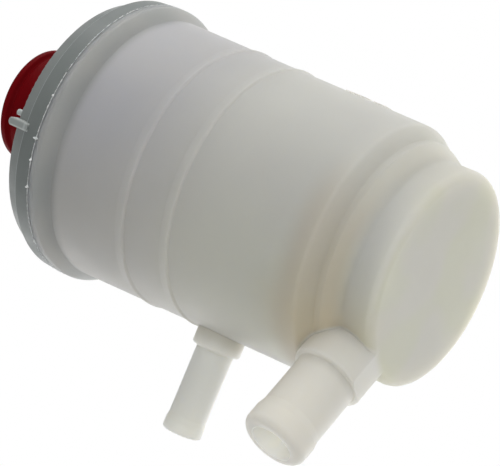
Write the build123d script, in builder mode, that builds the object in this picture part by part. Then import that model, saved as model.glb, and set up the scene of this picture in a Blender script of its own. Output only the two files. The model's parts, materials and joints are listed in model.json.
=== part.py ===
"""Power steering fluid reservoir: a moulded tank with two hose nipples, a welded lid with a
filler neck, a lift-off cap, and the strainer and splash baffle inside.

Millimetres. +Z runs up through the cap, the origin is the middle of the flat base, and the
small return nipple points along -X."""
import os
from math import cos, radians, sin

from build123d import *

os.makedirs("parts", exist_ok=True)

# Tank: outside, from the base up to the weld seam
neck_r = 29.75            # lower neck that carries the flat base
base_round = 2.4          # rounded edge of the base
neck_height = 9.0         # height at which the shoulder leaves the neck
step_out = 2.9            # the shoulder's step stands this far out of the neck
step_rise = 5.0           # and this far above it
step_band = 1.6           # height of the step's own wall
step_lean = 0.4           # draft of that wall
shoulder_out = 2.9        # shoulder outside the step
shoulder_rise = 4.0       # height of the shoulder's upper slope
wall_flare = 1.85         # draft of the main wall, bottom to top
seam_height = 106.0       # weld seam of tank and lid, above the base
flange_height = 6.2       # weld flange below the seam
flange_slope = 3.9        # height of the flange's sloped underside
flange_out = 2.65         # flange outside the main wall
tank_wall = 2.4           # moulded wall
tank_floor = 2.6          # base thickness
corner_round = 1.2        # outside corners of the shoulder and the flange

# Tank: inside
ledge_height = 15.4       # seat of the strainer, above the base
ledge_width = 2.4         # width of that seat
rebate_depth = 4.2        # recess under the seam for the baffle and the lid's spigot
rebate_wall = 3.5         # wall left outside the recess
cut_past = 1.0            # the hollow's cut runs this far past the seam

# Rings on the wall, which also keep a bracket's band in place: steep below, tapered above
low_ring_height = 60.3
ring_spacing = 14.9
ring_stand = 0.45
ring_sink = 0.25          # the ring's foot lies this far inside the wall
ring_slope = 0.9          # height of the steep lower face
ring_taper = 4.8          # height of the taper above

# Two plain level marks on the far side of the wall
mark_angle = 177.4        # their near end, from -X towards -Y
mark_arc = 18.0
mark_stand = 0.35
low_mark_height = 35.7
low_mark_width = 3.2
high_mark_height = 43.2
high_mark_width = 6.2

# Suction nipple, large, beside the base
suction_height = 9.1
suction_angle = 35.9      # from -X towards -Y
suction_offset = 3.1      # its axis passes this far beside the tank's axis
suction_boss_r = 10.0
suction_boss_reach = 38.3 # from the tank's axis
suction_tube_r = 8.55
suction_reach = 61.7
suction_bead = 0.45       # bead outside the tube
suction_bead_length = 8.1 # from the foot of the bead's slope to the mouth
suction_ramp = 2.2        # length of that slope
suction_nose = 2.4        # rounded lead at the mouth
suction_bore_r = 5.7

# Return nipple, small, half way up the wall
return_height = 53.4
return_angle = 0.0
return_offset = 0.0
return_boss_r = 6.8
return_boss_reach = 41.3
return_tube_r = 5.25
return_reach = 65.7
return_bead = 0.3
return_bead_length = 4.8
return_ramp = 1.7
return_nose = 1.1
return_bore_r = 3.3

boss_round = 0.9          # end edge of each nipple's boss

# Lid
skirt_height = 4.8        # plain skirt above the seam
skirt_draft = 0.25
ledge_in = 0.55           # the slope above the skirt starts this far in
rim_height = 4.8          # from the ledge up to the rim
rim_in = 2.2              # rim inside the foot of that slope
rim_width = 2.6
deck_drop = 2.2           # deck below the rim
deck_thickness = 2.4
spigot_thickness = 2.0    # ring inside the tank that holds the baffle down
spigot_play = 0.2
edge_round = 0.7

# Filler neck on the lid
filler_bore_r = 11.3
filler_wall = 2.1
filler_height = 20.9      # above the deck
filler_bead = 0.45        # bead round the neck's mouth, under the cap
filler_bead_width = 1.6
gusset_count = 6
gusset_thickness = 1.8
gusset_reach = 12.0       # outside the filler neck
gusset_height = 7.0

# Tab on the lid's ledge, and the knob behind it
tab_angle = 82.8          # from -X towards -Y
tab_width = 2.2
tab_depth = 2.6
tab_rise = 5.5            # above the ledge
tab_drop = 1.2            # below the ledge, on the skirt
knob_angle = 86.3
knob_r = 0.85
knob_in = 1.35            # knob's centre inside the rim's edge
knob_rise = 2.1           # above the rim

# Cap
cap_top = 2.0             # thickness of the cap's top
cap_wall = 1.5
cap_play = 0.6            # between the skirt and the neck's bead
cap_skirt = 13.6          # skirt below the lip
cap_lip = 0.75            # lip outside the skirt
cap_lip_height = 2.9
cap_lip_round = 1.1
cap_groove = 0.25         # shallow groove under the lip
cap_groove_width = 0.9
cap_dish = 0.5            # recess in the cap's top
cap_dish_margin = 3.2
gasket_thickness = 1.2
gasket_play = 0.2
insert_flange = 1.4
insert_play = 0.4         # plug inside the filler neck
insert_wall = 1.4
insert_depth = 8.6        # plug below the gasket's top
insert_overlap = 1.6      # flange outside the plug
vent_r = 1.2
vent_stem_play = 0.15
umbrella_r = 4.6
umbrella_thickness = 0.9
vent_slot_r = 0.6
vent_slot_count = 4
vent_slot_circle = 3.1

# Splash baffle
baffle_thickness = 1.6
baffle_play = 0.2
baffle_centre_r = 12.6
baffle_slot_count = 8
baffle_slot_width = 5.0
baffle_slot_length = 11.0
baffle_slot_circle = 24.0

# Strainer
seal_thickness = 1.2
seal_margin = 0.25        # seal and flange inside the ledge's wall
flange_thickness = 2.0
cage_r = 25.0             # outside of the cage's bars
cage_bar = 1.8
cage_bar_count = 8
cage_height = 20.0        # bars, from flange to top plate
cage_plate = 2.2
mesh_thickness = 0.7
mesh_play = 0.05
cage_lip = 1.2            # flange inside the mesh, which the mesh stands on

# Bypass valve in the cage's top plate
port_count = 6
port_r = 1.6
port_circle = 5.6
stem_r = 1.5
stem_play = 0.06
hub_r = 3.4
hub_height = 2.0
poppet_r = 8.6
poppet_thickness = 1.2
poppet_gap = 0.05
spring_wire_r = 0.35
spring_r = 2.75           # to the middle of the wire
spring_turns = 5
spring_length = 8.0
spring_gap = 0.1          # at each end of the spring
retainer_r = 4.2
retainer_thickness = 0.9
stem_end = 0.8            # stem above the retainer

# Heights and radii that follow
step_r = neck_r + step_out
step_z = neck_height + step_rise
band_r = step_r + step_lean
band_z = step_z + step_band
shoulder_r = band_r + shoulder_out
shoulder_z = band_z + shoulder_rise
flange_z = seam_height - flange_height
wall_top_r = shoulder_r + wall_flare
flange_r = wall_top_r + flange_out
rebate_z = seam_height - rebate_depth
rebate_r = flange_r - rebate_wall
ledge_wall_r = band_r - tank_wall
ledge_r = ledge_wall_r - ledge_width


def wall_r(z):
    """Outer radius of the drafted wall at height z."""
    return shoulder_r + wall_flare * (z - shoulder_z) / (flange_z - shoulder_z)


def outward(angle):
    """Direction across the tank, angle measured from -X towards -Y."""
    return Vector(-cos(radians(angle)), -sin(radians(angle)), 0)


def radial_plane(angle, z):
    """Upright plane through the tank's axis: x runs outward, y runs up."""
    out = outward(angle)
    return Plane(origin=(0, 0, z), x_dir=out, z_dir=out.cross(Vector(0, 0, 1)))


def foot(angle, offset, z):
    """Point beside the tank's axis where a nipple's own axis starts."""
    return outward(angle - 90) * offset + Vector(0, 0, z)


suction_sizes = (
    suction_angle, foot(suction_angle, suction_offset, suction_height), suction_boss_r,
    suction_boss_reach, suction_tube_r, suction_reach, suction_bead, suction_bead_length,
    suction_ramp, suction_nose,
)
return_sizes = (
    return_angle, foot(return_angle, return_offset, return_height), return_boss_r,
    return_boss_reach, return_tube_r, return_reach, return_bead, return_bead_length,
    return_ramp, return_nose,
)
nipple_root = neck_r - 2 * tank_wall

# Tank, one moulding
with BuildPart() as reservoir_body:
    with BuildSketch(Plane.XZ):
        with BuildLine():
            FilletPolyline(
                (0, 0),
                (neck_r, 0),
                (neck_r, neck_height),
                (step_r, step_z),
                (band_r, band_z),
                (shoulder_r, shoulder_z),
                (wall_top_r, flange_z),
                (flange_r, flange_z + flange_slope),
                (flange_r, seam_height),
                (0, seam_height),
                radius=[
                    base_round, 2 * corner_round, corner_round, corner_round / 2,
                    2 * corner_round, corner_round / 2, corner_round, corner_round / 6,
                ],
            )
            Line((0, seam_height), (0, 0))
        make_face()
    revolve(axis=Axis.Z)
    for ring_z in (low_ring_height, low_ring_height + ring_spacing):
        ring_foot = (wall_r(ring_z) - ring_sink, ring_z - ring_slope)
        ring_head = (wall_r(ring_z) - ring_sink, ring_z + ring_taper)
        with BuildSketch(Plane.XZ):
            with BuildLine():
                FilletPolyline(
                    ring_foot,
                    (wall_r(ring_z) + ring_stand, ring_z),
                    ring_head,
                    radius=ring_slope / 2,
                )
                Line(ring_head, ring_foot)
            make_face()
        revolve(axis=Axis.Z)
    for mark_z, mark_width in (
        (low_mark_height, low_mark_width),
        (high_mark_height, high_mark_width),
    ):
        with BuildSketch(radial_plane(mark_angle, mark_z)):
            with BuildLine():
                FilletPolyline(
                    (wall_r(mark_z) - mark_stand, -mark_width / 2),
                    (wall_r(mark_z) + mark_stand, -mark_width / 2),
                    (wall_r(mark_z) + mark_stand, mark_width / 2),
                    (wall_r(mark_z) - mark_stand, mark_width / 2),
                    radius=mark_stand,
                )
                Line(
                    (wall_r(mark_z) - mark_stand, mark_width / 2),
                    (wall_r(mark_z) - mark_stand, -mark_width / 2),
                )
            make_face()
        revolve(axis=Axis.Z, revolution_arc=mark_arc)
    for sizes in (suction_sizes, return_sizes):
        angle, start, boss_r, boss_reach, tube_r, reach, bead, length, ramp, nose = sizes
        across = outward(angle).cross(Vector(0, 0, 1))
        with BuildSketch(Plane(origin=start, x_dir=outward(angle), z_dir=across)):
            with BuildLine():
                FilletPolyline(
                    (nipple_root, 0),
                    (nipple_root, boss_r),
                    (boss_reach, boss_r),
                    (boss_reach, tube_r),
                    (reach - length, tube_r),
                    (reach - length + ramp, tube_r + bead),
                    (reach, tube_r + bead),
                    (reach, 0),
                    radius=[
                        boss_round / 9, boss_round, boss_round / 2, boss_round, boss_round, nose,
                    ],
                )
                Line((reach, 0), (nipple_root, 0))
            make_face()
        revolve(axis=Axis(start, outward(angle)))
    split(bisect_by=Plane.XY, keep=Keep.TOP)
    with BuildSketch(Plane.XZ):
        with BuildLine():
            FilletPolyline(
                (0, tank_floor),
                (neck_r - tank_wall, tank_floor),
                (neck_r - tank_wall, neck_height),
                (ledge_r, neck_height + tank_wall),
                (ledge_r, ledge_height),
                (ledge_wall_r, ledge_height),
                (ledge_wall_r, band_z + seal_thickness),
                (shoulder_r - tank_wall, shoulder_z + seal_thickness),
                (wall_r(rebate_z) - tank_wall, rebate_z),
                (rebate_r, rebate_z),
                (rebate_r, seam_height + cut_past),
                (0, seam_height + cut_past),
                radius=[
                    base_round / 2, corner_round / 2, corner_round / 2, corner_round / 6,
                    corner_round / 6, corner_round / 2, corner_round, corner_round / 6,
                    corner_round / 6, corner_round / 6,
                ],
            )
            Line((0, seam_height + cut_past), (0, tank_floor))
        make_face()
    revolve(axis=Axis.Z, mode=Mode.SUBTRACT)
    for sizes, bore_r in ((suction_sizes, suction_bore_r), (return_sizes, return_bore_r)):
        angle, start, boss_r, boss_reach, tube_r, reach = sizes[:6]
        bore_start = start + outward(angle) * nipple_root
        with BuildSketch(Plane(origin=bore_start, z_dir=outward(angle))):
            Circle(bore_r)
        extrude(amount=reach, mode=Mode.SUBTRACT)
reservoir_body.part.label = "reservoir_body"
export_step(reservoir_body.part, "parts/reservoir_body.step")

# Lid, one moulding
lid_ledge_z = seam_height + skirt_height
lid_rim_z = lid_ledge_z + rim_height
slope_foot_r = flange_r - skirt_draft - ledge_in
rim_r = slope_foot_r - rim_in
deck_z = lid_rim_z - deck_drop
spigot_r = rebate_r - spigot_play
spigot_z = rebate_z + baffle_thickness
filler_r = filler_bore_r + filler_wall
filler_z = deck_z + filler_height
with BuildPart() as lid:
    with BuildSketch(Plane.XZ):
        with BuildLine():
            FilletPolyline(
                (spigot_r, spigot_z),
                (spigot_r, seam_height),
                (flange_r, seam_height),
                (flange_r - skirt_draft, lid_ledge_z),
                (slope_foot_r, lid_ledge_z),
                (rim_r, lid_rim_z),
                (rim_r - rim_width, lid_rim_z),
                (rim_r - rim_width, deck_z),
                (filler_r, deck_z),
                (filler_r, filler_z - cap_top - filler_bead_width),
                (filler_r + filler_bead, filler_z - cap_top - filler_bead_width / 2),
                (filler_r, filler_z - cap_top),
                (filler_r, filler_z),
                (filler_bore_r, filler_z),
                (filler_bore_r, deck_z - deck_thickness),
                (spigot_r - spigot_thickness, deck_z - deck_thickness),
                (spigot_r - spigot_thickness, spigot_z),
                radius=[
                    edge_round / 7, edge_round / 7, edge_round / 2, edge_round / 4, edge_round,
                    edge_round, edge_round, edge_round, edge_round / 2, edge_round / 2,
                    edge_round / 2, edge_round / 2, edge_round / 2, edge_round, edge_round,
                ],
            )
            Line((spigot_r - spigot_thickness, spigot_z), (spigot_r, spigot_z))
        make_face()
    revolve(axis=Axis.Z)
    for number in range(gusset_count):
        with BuildSketch(radial_plane(360 / gusset_count * (number + 0.5), deck_z)):
            Polygon(
                (filler_r - filler_wall / 2, -deck_thickness / 2),
                (filler_r + gusset_reach, -deck_thickness / 2),
                (filler_r + gusset_reach, 0),
                (filler_r - filler_wall / 2, gusset_height),
                align=None,
            )
        extrude(amount=gusset_thickness / 2, both=True)
    tab_face_r = flange_r + skirt_draft
    with BuildSketch(Plane(
        origin=outward(tab_angle) * tab_face_r + Vector(0, 0, lid_ledge_z),
        x_dir=Vector(0, 0, 1), z_dir=outward(tab_angle),
    )):
        with Locations(((tab_rise - tab_drop) / 2, 0)):
            SlotOverall(tab_rise + tab_drop, tab_width)
    extrude(amount=-tab_depth)
    knob_foot = outward(knob_angle) * (rim_r - knob_in) + Vector(0, 0, deck_z - deck_thickness / 2)
    knob_height = deck_thickness / 2 + deck_drop + knob_rise
    knob_side = outward(knob_angle).cross(Vector(0, 0, 1))
    with BuildSketch(Plane(origin=knob_foot, x_dir=outward(knob_angle), z_dir=knob_side)):
        with BuildLine():
            FilletPolyline(
                (0, 0), (knob_r, 0), (knob_r, knob_height), (0, knob_height), radius=knob_r / 2,
            )
            Line((0, knob_height), (0, 0))
        make_face()
    revolve(axis=Axis(knob_foot, (0, 0, 1)))
lid.part.label = "lid"
export_step(lid.part, "parts/lid.step")

# Cap with its lip, a thin skirt over the filler neck and a shallow dish on top
cap_r = filler_r + filler_bead + cap_play + cap_wall
gasket_z = filler_z
insert_z = gasket_z + gasket_thickness
cap_under_z = insert_z + insert_flange
cap_top_z = cap_under_z + cap_top
lip_z = cap_top_z - cap_lip_height
skirt_z = lip_z - cap_skirt
with BuildPart() as cap:
    with BuildSketch(Plane.XZ):
        with BuildLine():
            FilletPolyline(
                (0, cap_under_z),
                (cap_r - cap_wall, cap_under_z),
                (cap_r - cap_wall, skirt_z),
                (cap_r, skirt_z),
                (cap_r, lip_z - cap_groove_width),
                (cap_r - cap_groove, lip_z - cap_groove_width / 2),
                (cap_r, lip_z),
                (cap_r + cap_lip, lip_z + cap_lip),
                (cap_r + cap_lip, cap_top_z),
                (cap_r - cap_dish_margin, cap_top_z),
                (cap_r - cap_dish_margin - cap_dish, cap_top_z - cap_dish),
                (0, cap_top_z - cap_dish),
                radius=[
                    edge_round, edge_round / 2, edge_round / 2, cap_groove, cap_groove, cap_groove,
                    cap_lip / 2, cap_lip_round, cap_dish, cap_dish,
                ],
            )
            Line((0, cap_top_z - cap_dish), (0, cap_under_z))
        make_face()
    revolve(axis=Axis.Z)
cap.part.label = "cap"
export_step(cap.part, "parts/cap.step")

# Gasket under the cap, on the neck's rim
with BuildPart() as cap_gasket:
    with BuildSketch(Plane.XY.offset(gasket_z)):
        Circle(cap_r - cap_wall - gasket_play)
        Circle(filler_bore_r - insert_play + gasket_play, mode=Mode.SUBTRACT)
    extrude(amount=gasket_thickness)
cap_gasket.part.label = "cap_gasket"
export_step(cap_gasket.part, "parts/cap_gasket.step")

# Insert under the cap's top: flange, plug and a floor with the breather's holes
plug_r = filler_bore_r - insert_play
plug_z = insert_z - insert_depth
plug_floor_z = plug_z + insert_wall
with BuildPart() as cap_insert:
    with BuildSketch(Plane.XZ):
        with BuildLine():
            FilletPolyline(
                (0, plug_z),
                (plug_r, plug_z),
                (plug_r, insert_z),
                (plug_r + insert_overlap, insert_z),
                (plug_r + insert_overlap, cap_under_z),
                (plug_r - insert_wall, cap_under_z),
                (plug_r - insert_wall, plug_floor_z),
                (0, plug_floor_z),
                radius=[
                    edge_round, edge_round / 7, edge_round / 7, edge_round / 7, edge_round / 7,
                    edge_round / 2,
                ],
            )
            Line((0, plug_floor_z), (0, plug_z))
        make_face()
    revolve(axis=Axis.Z)
    with BuildSketch(Plane.XY.offset(plug_z)):
        Circle(vent_r + vent_stem_play)
        with PolarLocations(vent_slot_circle, vent_slot_count):
            Circle(vent_slot_r)
    extrude(amount=insert_wall, mode=Mode.SUBTRACT)
cap_insert.part.label = "cap_insert"
export_step(cap_insert.part, "parts/cap_insert.step")

# Umbrella valve: the rubber disc lies on the plug's floor, the stem's bulb holds it from below
with BuildPart() as vent_valve:
    with BuildSketch(Plane.XZ):
        with BuildLine():
            Polyline(
                (0, plug_z - 2 * vent_r),
                (vent_r / 2, plug_z - 2 * vent_r),
                (1.5 * vent_r, plug_z),
                (vent_r, plug_z),
                (vent_r, plug_floor_z),
                (umbrella_r, plug_floor_z),
                (umbrella_r, plug_floor_z + umbrella_thickness / 3),
                (vent_r, plug_floor_z + umbrella_thickness),
                (0, plug_floor_z + umbrella_thickness),
                close=True,
            )
        make_face()
    revolve(axis=Axis.Z)
vent_valve.part.label = "vent_valve"
export_step(vent_valve.part, "parts/vent_valve.step")

# Splash baffle, clamped between the tank's recess and the lid's spigot
with BuildPart() as baffle_plate:
    with BuildSketch(Plane.XY.offset(rebate_z)):
        Circle(rebate_r - baffle_play)
        Circle(baffle_centre_r, mode=Mode.SUBTRACT)
        with PolarLocations(baffle_slot_circle, baffle_slot_count):
            SlotOverall(baffle_slot_length, baffle_slot_width, rotation=90, mode=Mode.SUBTRACT)
    extrude(amount=baffle_thickness)
baffle_plate.part.label = "baffle_plate"
export_step(baffle_plate.part, "parts/baffle_plate.step")

# Strainer: seal on the tank's ledge, cage on the seal, mesh sleeve inside the cage's bars
flange_low_z = ledge_height + seal_thickness
flange_top_z = flange_low_z + flange_thickness
plate_z = flange_top_z + cage_height
plate_top_z = plate_z + cage_plate
mesh_r = cage_r - cage_bar - mesh_play
with BuildPart() as strainer_seal:
    with BuildSketch(Plane.XY.offset(ledge_height)):
        Circle(ledge_wall_r - seal_margin)
        Circle(ledge_r + seal_margin, mode=Mode.SUBTRACT)
    extrude(amount=seal_thickness)
strainer_seal.part.label = "strainer_seal"
export_step(strainer_seal.part, "parts/strainer_seal.step")

with BuildPart() as strainer_frame:
    with BuildSketch(Plane.XY.offset(flange_low_z)):
        Circle(ledge_wall_r - seal_margin)
        Circle(mesh_r - mesh_thickness - cage_lip, mode=Mode.SUBTRACT)
    extrude(amount=flange_thickness)
    with BuildSketch(Plane.XY.offset(flange_top_z)):
        with PolarLocations(cage_r - cage_bar / 2, cage_bar_count):
            Rectangle(cage_bar, cage_bar)
    extrude(amount=cage_height)
    with BuildSketch(Plane.XY.offset(plate_z)):
        Circle(cage_r + cage_bar / 4)
        Circle(stem_r + stem_play, mode=Mode.SUBTRACT)
        with PolarLocations(port_circle, port_count):
            Circle(port_r, mode=Mode.SUBTRACT)
    extrude(amount=cage_plate)
    fillet(strainer_frame.faces().sort_by(Axis.Z)[-1].outer_wire().edges(), radius=cage_plate / 3)
    with BuildSketch(Plane.XY.offset(plate_top_z)):
        Circle(hub_r)
        Circle(stem_r + stem_play, mode=Mode.SUBTRACT)
    extrude(amount=hub_height)
strainer_frame.part.label = "strainer_frame"
export_step(strainer_frame.part, "parts/strainer_frame.step")

with BuildPart() as strainer_mesh:
    with BuildSketch(Plane.XY.offset(flange_top_z)):
        Circle(mesh_r)
        Circle(mesh_r - mesh_thickness, mode=Mode.SUBTRACT)
    extrude(amount=cage_height)
strainer_mesh.part.label = "strainer_mesh"
export_step(strainer_mesh.part, "parts/strainer_mesh.step")

# Bypass valve: the disc closes the plate's ports from below, its stem rises through the hub
spring_z = plate_top_z + hub_height
retainer_z = spring_z + spring_length
coil_height = spring_length - 2 * (spring_gap + spring_wire_r)
with BuildPart() as bypass_valve:
    with BuildSketch(Plane.XY.offset(plate_z - poppet_gap - poppet_thickness)):
        Circle(poppet_r)
    extrude(amount=poppet_thickness)
    with BuildSketch(Plane.XY.offset(plate_z - poppet_gap)):
        Circle(stem_r)
    extrude(amount=retainer_z + retainer_thickness + stem_end - plate_z + poppet_gap)
    chamfer(bypass_valve.edges().group_by(Axis.Z)[-1], length=stem_r / 4)
bypass_valve.part.label = "bypass_valve"
export_step(bypass_valve.part, "parts/bypass_valve.step")

with BuildPart() as bypass_spring:
    with BuildLine():
        coil = Helix(
            pitch=coil_height / spring_turns,
            height=coil_height,
            radius=spring_r,
            center=(0, 0, spring_z + spring_gap + spring_wire_r),
        )
    with BuildSketch(Plane(origin=coil @ 0, z_dir=coil % 0)):
        Circle(spring_wire_r)
    sweep(is_frenet=True)
bypass_spring.part.label = "bypass_spring"
export_step(bypass_spring.part, "parts/bypass_spring.step")

with BuildPart() as bypass_retainer:
    with BuildSketch(Plane.XY.offset(retainer_z)):
        Circle(retainer_r)
        Circle(stem_r, mode=Mode.SUBTRACT)
    extrude(amount=retainer_thickness)
    retainer_top = bypass_retainer.faces().sort_by(Axis.Z)[-1]
    fillet(retainer_top.outer_wire().edges(), radius=retainer_thickness / 3)
bypass_retainer.part.label = "bypass_retainer"
export_step(bypass_retainer.part, "parts/bypass_retainer.step")
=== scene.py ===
"""Looks of the power steering reservoir: its finishes, the weld's flash, the light and the camera.

Metres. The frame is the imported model's: +Z up through the cap, the origin in the middle of the
flat base, the small return nipple along -X. Angles across the tank are degrees from -X towards
-Y. A pair such as base_fade says where a tint begins and where it is full."""

import json
import math

import bpy
from mathutils import Matrix, Vector, noise


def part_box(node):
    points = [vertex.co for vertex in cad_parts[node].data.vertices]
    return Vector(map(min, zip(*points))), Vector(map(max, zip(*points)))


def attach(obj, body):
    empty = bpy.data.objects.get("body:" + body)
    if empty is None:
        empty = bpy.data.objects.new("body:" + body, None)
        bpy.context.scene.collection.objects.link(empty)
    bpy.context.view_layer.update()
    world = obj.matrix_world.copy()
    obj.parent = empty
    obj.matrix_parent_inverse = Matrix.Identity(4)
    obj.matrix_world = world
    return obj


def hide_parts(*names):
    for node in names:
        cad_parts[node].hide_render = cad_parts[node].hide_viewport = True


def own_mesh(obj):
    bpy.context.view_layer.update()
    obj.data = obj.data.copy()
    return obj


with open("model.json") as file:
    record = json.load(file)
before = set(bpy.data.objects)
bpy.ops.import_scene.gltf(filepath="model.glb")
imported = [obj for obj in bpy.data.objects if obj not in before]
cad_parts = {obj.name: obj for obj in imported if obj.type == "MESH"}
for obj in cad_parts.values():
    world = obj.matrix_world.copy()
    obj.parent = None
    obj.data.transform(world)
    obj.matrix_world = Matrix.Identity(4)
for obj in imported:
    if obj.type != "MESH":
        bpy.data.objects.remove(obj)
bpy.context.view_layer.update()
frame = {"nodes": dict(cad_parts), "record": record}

nodes = frame["nodes"]
seam_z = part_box("reservoir_body")[1].z
lid_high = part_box("lid")[1]
cap_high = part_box("cap")[1]

MM = 0.001


def outward(angle):
    """Direction across the tank, as a unit vector."""
    turn = math.radians(angle)
    return Vector((-math.cos(turn), -math.sin(turn), 0))


def point_at(angle, radius, height):
    """Point at an angle and a radius from the tank's axis, a height above its base."""
    return outward(angle) * radius + Vector((0, 0, height))


# Camera, fitted to the photograph's outlines: it looks up at the base from below
camera_distance = 600 * MM
camera_azimuth = 3.52                 # degrees off straight along +Y
camera_elevation = -30.37
camera_roll = -65.61                  # the photograph is turned this far
focal_pixels = 2233.28
image_width = 500
sensor_width = 36.0
aim = Vector((-8.515, -1.498, 56.66)) * MM

# The wall: greyer upwards, cooler on one side there, and warmer down at the base
upper_fade = (45 * MM, 96 * MM)
cool_angle = 140
cool_fade = (4 * MM, 34 * MM)
base_fade = (24 * MM, 8 * MM)

# The weld flange is greyer than the wall, and paler again along its seam, where painted light lifts
# the shade on its rim
flange_z = 99.8 * MM
flange_fade = (flange_z - 3 * MM, flange_z + 1 * MM)
seam_light_fade = (seam_z - 2.2 * MM, seam_z - 0.3 * MM)

# Painted light on the wall between the nipples, where light through them falls
wall_light_centre = point_at(52, 36 * MM, 36 * MM)
wall_light_fade = (38 * MM, 6 * MM)
wall_light_share = 0.8

# Faint clouds over the whole tank
cloud_share = 0.3

# Painted shade: brown where the large nipple joins, and fainter round the shoulder on that side
nipple_shade_angle = 52
nipple_shade_centre = point_at(nipple_shade_angle, 33 * MM, 16 * MM)
nipple_shade_fade = (23 * MM, 0)
nipple_shade_least, nipple_shade_most = 0.7, 1.0    # its blotches
shoulder_z = 17 * MM
shoulder_shade_fade = (12 * MM, 4 * MM)     # by distance from shoulder_z
shoulder_shade_side = (6 * MM, 30 * MM)
shoulder_shade_share = 0.7

# A painted highlight on the palest side of the neck
neck_radius = 29.75 * MM
neck_highlight_centre = point_at(94, neck_radius, 6 * MM)
neck_highlight_fade = (27 * MM, 8 * MM)
neck_highlight_skin = (neck_radius - 2 * MM, neck_radius)
neck_highlight_top = (12 * MM, 8 * MM)
neck_highlight_share = 0.7

# The large nipple: its axis, the boss it stands on and its bore
suction_angle = 35.9
suction_start = point_at(suction_angle - 90, 3.1 * MM, 9.1 * MM)
boss_radius = 10 * MM
# Painted highlight on the boss, full within boss_radius and fading along the axis
boss_highlight_fade = (boss_radius + 1.2 * MM, boss_radius)
boss_highlight_reach = (26 * MM, 30 * MM)       # along the axis
bore_radius = 5.7 * MM
bore_fade = (bore_radius + 0.3 * MM, bore_radius)
# Painted light: a glow and a whiter colour inside the large nipple's mouth, where light comes
# through its thin wall
bore_painted_glow = 0.06                      # light that the photo shows inside its mouth

# Both nipples stand outside the wall, well under the flange; painted light pales them, the upper
# one most
wall_radius = 38 * MM
nipple_skin = (wall_radius, wall_radius + 5 * MM)
nipple_top = (flange_z - 20 * MM, flange_z - 30 * MM)
lit_upper_nipple_fade = (30 * MM, 40 * MM)

# How far light travels in the tank's plastic: in its thick wall, and in the nipples
wall_scatter = 14 * MM
nipple_scatter = 5 * MM

# The lid's painted highlights: its ledge's edge, the tab with its rims, and the knob
ledge_z = 110.8 * MM
ledge_highlight_fade = (0.45 * MM, 0.15 * MM)   # by distance from ledge_z
ledge_highlight_share = 0.5
tab_angle = 82.8
tab_half_width = 1.1 * MM
tab_sides = (tab_half_width + 0.15 * MM, tab_half_width)
tab_inner = (38.4 * MM, 38.6 * MM)
tab_foot = (109.5 * MM, 109.7 * MM)
tab_rims = (tab_half_width * 0.45, tab_half_width * 0.9)
tab_middle_highlight_share, tab_rim_highlight_share = 0.35, 0.8
knob_centre = point_at(86.3, 36.1 * MM, 117.2 * MM)
knob_highlight_fade = (2.2 * MM, 1.2 * MM)

plastic_ior = 1.49
fine_grain = 0.1 * MM                 # depth of most materials' grain
wire_pitch = 0.5 * MM                 # the strainer's mesh

# The weld's flash: a thin ragged ring on the seam, and flakes of it as (angle, size)
flash_size = 0.17 * MM
flash_steps = 1800
flash_corners = 8
flash_mean, flash_least = 0.75, 0.15  # shares of flash_size
coarse_share, coarse_waves = 0.9, 45
fine_share, fine_waves = 0.6, 160
flake_half_angle = 0.55
flake_rise = 0.6                      # half its height, as a share of its size
curl_share, curl_waves = 0.3, 300     # how a flake wavers up and down
flakes = (
    (34.2, 0.35 * MM),
    (60.8, 0.7 * MM),
    (71.8, 0.55 * MM),
    (80.5, 0.95 * MM),
    (97.8, 0.4 * MM),
    (14.0, 0.3 * MM),
)

# The floor, just under the base
floor_half = 3.0
floor_drop = 0.05 * MM
floor_lift = 0.6                      # evens it out away from the lamps

# Light: a soft white room, and large soft lamps all round the object, as (name, direction, level)
room_level = 0.33
lamp_distance = 0.8
lamp_size = 0.7
lamps = (
    ("front_lamp", (0.05, -0.86, -0.51), 0.36),
    ("right_lamp", (0.38, 0.48, -0.79), 0.12),
    ("upper_lamp", (0.92, -0.15, 0.36), 0.48),
    ("upper_right_lamp", (0.83, -0.22, -0.51), 0.05),
    ("upper_rear_lamp", (0.72, 0.69, 0.04), 0.09),
    ("rear_left_lamp", (-0.78, 0.31, 0.54), 0.25),
    ("rear_right_lamp", (-0.34, 0.87, -0.37), 0.35),
    ("rear_low_lamp", (-0.69, 0.72, 0.11), 0.14),
    ("rear_lamp", (0.23, 0.95, -0.2), 0.19),
)


def rgb(red, green, blue):
    """A colour given as it shows on screen, 0 to 255, in linear light."""
    def linear(value):
        share = value / 255
        return share / 12.92 if share <= 0.04045 else ((share + 0.055) / 1.055) ** 2.4
    return (linear(red), linear(green), linear(blue), 1.0)


def add_object(name, data):
    made = bpy.data.objects.new(name, data)
    bpy.context.scene.collection.objects.link(made)
    return made


class NodeTree:
    """Adds nodes to a tree, with their inputs set to values or linked to other nodes."""

    def __init__(self, owner):
        owner.use_nodes = True
        self.tree = owner.node_tree

    def feed(self, socket, value):
        if isinstance(value, bpy.types.NodeSocket):
            self.tree.links.new(value, socket)
        else:
            socket.default_value = value

    def node(self, kind, inputs=None, **settings):
        made = self.tree.nodes.new(kind)
        for key, value in settings.items():
            setattr(made, key, value)
        for key, value in (inputs or {}).items():
            self.feed(made.inputs[key], value)
        return made

    def math(self, kind, first, second=0.0, **settings):
        made = self.node("ShaderNodeMath", {0: first, 1: second}, operation=kind, **settings)
        return made.outputs[0]

    def vector(self, kind, first, second=(0, 0, 0)):
        return self.node("ShaderNodeVectorMath", {0: first, 1: second}, operation=kind).outputs


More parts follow.
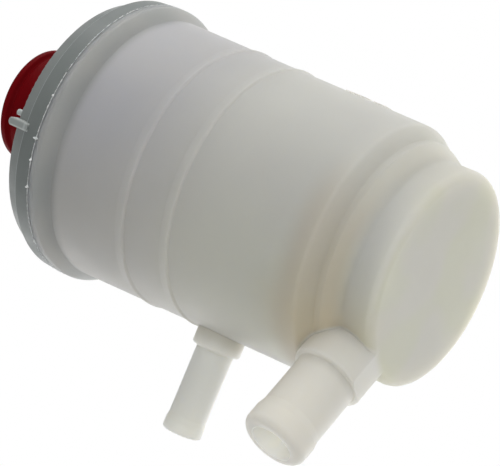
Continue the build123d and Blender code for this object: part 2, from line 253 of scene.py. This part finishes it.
class Recipe(NodeTree):
    """A finish under construction: masks from 0 to 1, colours mixed by them, and a surface."""

    def __init__(self, name):
        self.material = bpy.data.materials.new(name)
        super().__init__(self.material)
        self.shader = self.tree.nodes["Principled BSDF"]
        self.position = self.node("ShaderNodeTexCoord").outputs["Object"]

    def axes(self):
        return self.node("ShaderNodeSeparateXYZ", {0: self.position}).outputs

    def along(self, angle):
        """How far a point lies in a direction across the tank."""
        return self.vector("DOT_PRODUCT", self.position, outward(angle))["Value"]

    def off_line(self, start, direction):
        """Distance from a line."""
        offset = self.vector("SUBTRACT", self.position, start)["Vector"]
        across = self.vector("CROSS_PRODUCT", offset, direction)["Vector"]
        return self.vector("LENGTH", across)["Value"]

    def off_level(self, value, level):
        """Distance of a value from a level, above or below it."""
        return self.math("ABSOLUTE", self.math("SUBTRACT", value, level))

    def span(self, value, begin, full, out_low=0.0, out_high=1.0):
        """A smooth step from out_low where value is begin to out_high where it is full."""
        inputs = {
            "Value": value, "From Min": begin, "From Max": full,
            "To Min": out_low, "To Max": out_high,
        }
        made = self.node("ShaderNodeMapRange", inputs, interpolation_type="SMOOTHSTEP")
        return made.outputs[0]

    def near(self, centre, fade):
        """Full at a point, fading with the distance from it."""
        gap = self.vector("DISTANCE", self.position, centre)["Value"]
        return self.span(gap, *fade)

    def all_of(self, first, *others):
        """The product of masks and shares."""
        for other in others:
            first = self.math("MULTIPLY", first, other)
        return first

    def noise(self, scale, detail=3.0, stretch=(1, 1, 1)):
        moved = self.node("ShaderNodeMapping", {"Vector": self.position, "Scale": stretch})
        inputs = {"Vector": moved.outputs[0], "Scale": scale, "Detail": detail}
        return self.node("ShaderNodeTexNoise", inputs).outputs["Fac"]

    def clouds(
        self, scale, detail=3.0, low=0.3, high=0.7, out_low=0.0, out_high=1.0, stretch=(1, 1, 1),
    ):
        """Soft patches from out_low to out_high, where the noise goes from low to high."""
        return self.span(self.noise(scale, detail, stretch), low, high, out_low, out_high)

    def mix(self, amount, first, second):
        """First where amount is 0, second where it is 1. The numbers are the colour sockets."""
        made = self.node("ShaderNodeMix", data_type="RGBA")
        self.feed(made.inputs["Factor"], amount)
        self.feed(made.inputs[6], first)
        self.feed(made.inputs[7], second)
        return made.outputs[2]

    def bump(self, height, strength, depth=fine_grain):
        inputs = {"Height": height, "Strength": strength, "Distance": depth}
        self.feed(self.shader.inputs["Normal"], self.node("ShaderNodeBump", inputs).outputs[0])

    def finish(self, **values):
        for key, value in values.items():
            self.feed(self.shader.inputs[key.replace("_", " ")], value)
        return self.material


def tank_plastic():
    """Milky polymer: light enters the wall and spreads. It is warmer and paler toward the base,
    greyer in the thick weld flange, and palest in the nipples, with painted light for their thin
    walls lit through. Painted shade browns it where the large nipple joins and round the shoulder,
    painted highlights pale the neck and the boss, and painted light glows in the large nipple's
    mouth and pales the wall between the nipples and along the seam."""
    make = Recipe("tank_plastic")
    height = make.axes()["Z"]
    radius = make.off_line((0, 0, 0), (0, 0, 1))
    off_suction = make.off_line(suction_start, outward(suction_angle))

    upper = make.span(height, *upper_fade)
    cool = make.all_of(make.span(make.along(cool_angle), *cool_fade), upper)
    patches = make.clouds(scale=45, detail=1.0, low=0.42, high=0.6)
    base_colour = make.mix(patches, rgb(226, 222, 191), rgb(229, 222, 199))
    clouds = make.clouds(scale=28, detail=2.0, low=0.35)
    # painted shade round the shoulder, on the large nipple's side
    shoulder_shade = make.all_of(
        make.span(make.off_level(height, shoulder_z), *shoulder_shade_fade),
        make.span(make.along(nipple_shade_angle), *shoulder_shade_side),
        shoulder_shade_share,
    )
    # painted highlight on the neck
    neck_highlight = make.all_of(
        make.near(neck_highlight_centre, neck_highlight_fade),
        make.span(radius, *neck_highlight_skin),
        make.span(height, *neck_highlight_top),
        neck_highlight_share,
    )
    # blotches of the painted shade at the large nipple's root
    nipple_shade_blotches = make.clouds(scale=70, detail=2.0, out_low=nipple_shade_least, out_high=nipple_shade_most)
    boss_highlight = make.all_of(
        make.span(off_suction, *boss_highlight_fade),
        make.span(make.along(suction_angle), *boss_highlight_reach),
    )
    nipple = make.all_of(make.span(radius, *nipple_skin), make.span(height, *nipple_top))
    lit_upper_nipple = make.all_of(make.span(height, *lit_upper_nipple_fade), nipple)
    bore = make.all_of(nipple, make.span(off_suction, *bore_fade))

    colour = make.mix(upper, rgb(223, 219, 203), rgb(192, 190, 184))
    for mask, tint in (
        (cool, rgb(191, 190, 192)),
        (make.span(height, *base_fade), base_colour),
        (make.span(height, *flange_fade), rgb(166, 168, 165)),
        # painted light along the seam
        (make.span(height, *seam_light_fade), rgb(197, 199, 194)),
        # painted light on the wall between the nipples
        (make.all_of(make.near(wall_light_centre, wall_light_fade), wall_light_share), rgb(247, 240, 206)),
        (make.all_of(clouds, cloud_share), rgb(214, 208, 198)),
        # painted shade round the shoulder
        (shoulder_shade, rgb(206, 192, 172)),
        # painted highlight on the neck
        (neck_highlight, rgb(241, 234, 214)),
        # painted shade where the large nipple joins, in blotches
        (make.all_of(make.near(nipple_shade_centre, nipple_shade_fade), nipple_shade_blotches), rgb(216, 200, 171)),
        # painted highlight on the boss
        (boss_highlight, rgb(236, 230, 215)),
        # painted light in the nipples, standing for their thin walls lit through
        (nipple, rgb(231, 228, 219)),
        (lit_upper_nipple, rgb(252, 248, 232)),
        # painted light inside the large nipple's mouth
        (bore, rgb(253, 251, 241)),
    ):
        colour = make.mix(mask, colour, tint)
    make.bump(make.noise(scale=600, detail=2.0), strength=0.06, depth=0.2 * MM)
    return make.finish(
        Base_Color=colour,
        Roughness=make.clouds(scale=90, out_low=0.42, out_high=0.52),
        IOR=plastic_ior,
        Subsurface_Weight=1.0,
        Subsurface_Radius=(1.0, 0.95, 0.85),
        Subsurface_Scale=make.span(nipple, 0.0, 1.0, wall_scatter, nipple_scatter),
        Specular_IOR_Level=0.15,
        # painted light: the mouth glows by emission
        Emission_Color=rgb(232, 232, 220),
        Emission_Strength=make.all_of(bore, bore_painted_glow),
    )


def flash_plastic():
    """The tank's plastic squeezed out at the seam, whiter where it is thin."""
    make = Recipe("flash_plastic")
    thin = make.clouds(scale=900, detail=2.0, low=0.35, high=0.65)
    return make.finish(
        Base_Color=make.mix(thin, rgb(196, 202, 201), rgb(238, 240, 238)),
        Roughness=0.5,
        IOR=plastic_ior,
        Subsurface_Weight=0.6,
        Subsurface_Radius=(1.0, 1.0, 1.0),
        Subsurface_Scale=0.5 * MM,
    )


def lid_plastic():
    """Grey satin moulding, with painted highlights along the ledge's edge and on the tab and the
    knob.
    """
    make = Recipe("lid_plastic")
    height = make.axes()["Z"]
    ledge_highlight = make.span(make.off_level(height, ledge_z), *ledge_highlight_fade)
    off_middle = make.math("ABSOLUTE", make.along(tab_angle + 90))
    tab_highlight = make.all_of(
        make.span(off_middle, *tab_sides),
        make.span(make.along(tab_angle), *tab_inner),
        make.span(height, *tab_foot),
        make.span(off_middle, *tab_rims, tab_middle_highlight_share, tab_rim_highlight_share),
    )
    clouds = make.clouds(scale=60, detail=4.0, low=0.35, high=0.65)
    colour = make.mix(clouds, rgb(107, 113, 111), rgb(116, 122, 120))
    for mask, tint in (
        # painted highlights on the ledge's edge, the tab and the knob
        (make.all_of(ledge_highlight, ledge_highlight_share), rgb(178, 186, 186)),
        (tab_highlight, rgb(196, 201, 198)),
        (make.near(knob_centre, knob_highlight_fade), rgb(176, 182, 180)),
    ):
        colour = make.mix(mask, colour, tint)
    make.bump(make.noise(scale=900), strength=0.1)
    return make.finish(
        Base_Color=colour,
        Roughness=make.clouds(scale=140, out_low=0.38, out_high=0.5),
        IOR=plastic_ior,
        Subsurface_Weight=0.4,
        Subsurface_Radius=(1.0, 1.0, 1.0),
        Subsurface_Scale=1 * MM,
        Specular_IOR_Level=0.4,
    )


def cap_plastic():
    """Dark red satin moulding."""
    make = Recipe("cap_plastic")
    clouds = make.clouds(scale=70, detail=4.0)
    make.bump(make.noise(scale=800), strength=0.12)
    return make.finish(
        Base_Color=make.mix(clouds, rgb(104, 3, 9), rgb(116, 6, 14)),
        Roughness=make.clouds(scale=120, out_low=0.42, out_high=0.54),
        IOR=plastic_ior,
        Specular_IOR_Level=0.03,
    )


def inner_plastic():
    """Natural moulded plastic of the strainer, baffle and valve."""
    make = Recipe("inner_plastic")
    clouds = make.clouds(scale=60)
    make.bump(make.noise(scale=700), strength=0.1)
    colour = make.mix(clouds, rgb(186, 184, 174), rgb(204, 202, 192))
    return make.finish(Base_Color=colour, Roughness=0.5, IOR=plastic_ior)


def insert_plastic():
    """Black moulded plastic of the cap's plug."""
    make = Recipe("insert_plastic")
    clouds = make.clouds(scale=80)
    make.bump(make.noise(scale=700), strength=0.1)
    colour = make.mix(clouds, rgb(34, 34, 36), rgb(48, 48, 50))
    return make.finish(Base_Color=colour, Roughness=0.48, IOR=plastic_ior)


def mesh_cloth():
    """Fine woven mesh: wires round the sleeve and along it, as ridges."""
    make = Recipe("mesh_cloth")
    axes = make.axes()
    mesh_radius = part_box("strainer_mesh")[1].x
    wires_round = round(2 * math.pi * mesh_radius / wire_pitch)
    turn = make.math("ARCTAN2", axes["Y"], axes["X"])
    weave = make.all_of(
        make.math("SINE", make.math("MULTIPLY", axes["Z"], 2 * math.pi / wire_pitch)),
        make.math("SINE", make.math("MULTIPLY", turn, wires_round)),
    )
    make.bump(weave, strength=0.5)
    colour = make.mix(make.span(weave, -1.0, 1.0), rgb(150, 148, 138), rgb(206, 204, 194))
    return make.finish(Base_Color=colour, Roughness=0.6)


def rubber():
    """Black rubber of the seals and the breather valve."""
    make = Recipe("rubber")
    clouds = make.clouds(scale=150, detail=4.0)
    make.bump(make.noise(scale=1200), strength=0.2)
    colour = make.mix(clouds, rgb(28, 28, 29), rgb(44, 43, 42))
    return make.finish(Base_Color=colour, Roughness=0.62)


def spring_wire():
    """Bright drawn steel, finely streaked."""
    make = Recipe("spring_wire")
    streaks = make.clouds(scale=500, stretch=(1, 1, 6))
    make.bump(streaks, strength=0.1, depth=0.05 * MM)
    return make.finish(
        Base_Color=make.mix(streaks, rgb(178, 178, 176), rgb(206, 206, 204)),
        Metallic=1.0,
        Roughness=make.span(streaks, 0.0, 1.0, out_low=0.22, out_high=0.36),
    )


finishes = {
    "tank_plastic": tank_plastic(),
    "lid_plastic": lid_plastic(),
    "cap_plastic": cap_plastic(),
    "inner_plastic": inner_plastic(),
    "insert_plastic": insert_plastic(),
    "mesh": mesh_cloth(),
    "rubber": rubber(),
    "spring_wire": spring_wire(),
}
for part in frame["record"]["subparts"]:
    for slot in nodes[part["node"]].material_slots:
        slot.material = finishes[part["material_slot"]]


def flash_ring(angle):
    """The ring's corners at one angle, where it may swell into a flake."""
    direction = outward(angle)
    ragged = (
        flash_mean
        + coarse_share * noise.noise(direction * coarse_waves)
        + fine_share * noise.noise(direction * fine_waves)
    )
    size = flash_size * max(flash_least, ragged)
    flake = max(
        flake_size * max(0.0, 1 - ((angle - flake_angle) / flake_half_angle) ** 2)
        for flake_angle, flake_size in flakes
    )
    curl = flake * curl_share * noise.noise(direction * curl_waves)
    for corner in range(flash_corners):
        turn = 2 * math.pi * corner / flash_corners
        outer = size * math.cos(turn) + flake * max(0.0, math.cos(turn))
        rise = (size + flake * flake_rise) * math.sin(turn) + curl
        yield direction * (lid_high.x - flash_size / 2 + outer) + Vector((0, 0, seam_z + rise))


def weld_flash():
    """A thin ragged ring on the seam, swelling into a few flakes."""
    points, faces = [], []
    for step in range(flash_steps):
        points.extend(flash_ring(360 * step / flash_steps))
        here, ahead = step * flash_corners, (step + 1) % flash_steps * flash_corners
        for corner in range(flash_corners):
            beside = (corner + 1) % flash_corners
            faces.append((here + corner, ahead + corner, ahead + beside, here + beside))
    mesh = bpy.data.meshes.new("weld_flash")
    mesh.from_pydata(points, [], faces)
    mesh.materials.append(flash_plastic())
    flash = add_object("weld_flash", mesh)
    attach(flash, "tank")


def shortening_spring():
    """The bypass spring's coil, as a piece of its own carried with the tank, in place of the
    imported spring.
    """
    solid = nodes["bypass_spring"]
    coil = add_object("bypass_coil", solid.data.copy())
    coil.matrix_world = solid.matrix_world
    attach(coil, "tank")
    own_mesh(coil)
    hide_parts("bypass_spring")


def floor_paint():
    """Pale paint that shows from above only, so the view from below sees past the floor."""
    material = bpy.data.materials.new("floor_paint")
    make = NodeTree(material)
    make.tree.nodes.clear()
    paint = make.node("ShaderNodeBsdfDiffuse", {"Color": rgb(150, 150, 150)})
    lift = make.node("ShaderNodeEmission", {"Strength": floor_lift})
    pale = make.node("ShaderNodeAddShader", {0: paint.outputs[0], 1: lift.outputs[0]})
    clear = make.node("ShaderNodeBsdfTransparent")
    camera_ray = make.node("ShaderNodeLightPath").outputs["Is Camera Ray"]
    backfacing = make.node("ShaderNodeNewGeometry").outputs["Backfacing"]
    shown = make.math("SUBTRACT", camera_ray, backfacing, use_clamp=True)
    blend = make.node("ShaderNodeMixShader", {0: shown, 1: clear.outputs[0], 2: pale.outputs[0]})
    make.node("ShaderNodeOutputMaterial", {"Surface": blend.outputs[0]})
    return material


def add_floor():
    corners = [(x * floor_half, y * floor_half, 0) for x, y in ((-1, -1), (1, -1), (1, 1), (-1, 1))]
    mesh = bpy.data.meshes.new("floor")
    mesh.from_pydata(corners, [], [(0, 1, 2, 3)])
    mesh.materials.append(floor_paint())
    floor = add_object("floor", mesh)
    floor.location.z = -floor_drop


def world_light():
    """A white room: pure white where it is seen, mirrored or seen through, and dimmer as light."""
    world = bpy.data.worlds.new("room")
    bpy.context.scene.world = world
    make = NodeTree(world)
    make.tree.nodes.clear()
    dimmed, pure = (
        make.node("ShaderNodeBackground", {"Color": (1, 1, 1, 1), "Strength": level}).outputs[0]
        for level in (room_level, 1.0)
    )
    ray = make.node("ShaderNodeLightPath").outputs
    seen = ray["Is Camera Ray"]
    for kind in ("Is Transmission Ray", "Is Glossy Ray"):
        seen = make.math("MAXIMUM", seen, ray[kind])
    blend = make.node("ShaderNodeMixShader", {0: seen, 1: dimmed, 2: pure})
    make.node("ShaderNodeOutputWorld", {"Surface": blend.outputs[0]})


def soft_lamp(name, direction, level):
    """A square lamp that shines on the object; level 1 shows a facing colour as it is written."""
    data = bpy.data.lights.new(name, "AREA")
    data.shape = "SQUARE"
    data.size = lamp_size
    data.energy = level * (math.pi * lamp_distance) ** 2
    lamp = add_object(name, data)
    toward = Vector(direction).normalized()
    lamp.location = Vector((0, 0, cap_high.z / 2)) + toward * lamp_distance
    lamp.rotation_euler = toward.to_track_quat("Z", "Y").to_euler()


def add_camera():
    data = bpy.data.cameras.new("camera")
    data.sensor_width = sensor_width
    data.lens = focal_pixels * sensor_width / image_width
    camera = add_object("camera", data)
    turn, tilt = math.radians(camera_azimuth), math.radians(camera_elevation)
    level_back = Vector((math.sin(turn), -math.cos(turn), 0))
    back = level_back * math.cos(tilt) + Vector((0, 0, math.sin(tilt)))
    camera.rotation_mode = "QUATERNION"
    camera.matrix_world = (
        Matrix.Translation(aim + back * camera_distance)
        @ back.to_track_quat("Z", "Y").to_matrix().to_4x4()
        @ Matrix.Rotation(math.radians(camera_roll), 4, "Z")
    )
    bpy.context.scene.camera = camera


weld_flash()
shortening_spring()
add_floor()
world_light()
for name, direction, level in lamps:
    soft_lamp(name, direction, level)
add_camera()
bpy.context.scene.view_settings.view_transform = "Standard"
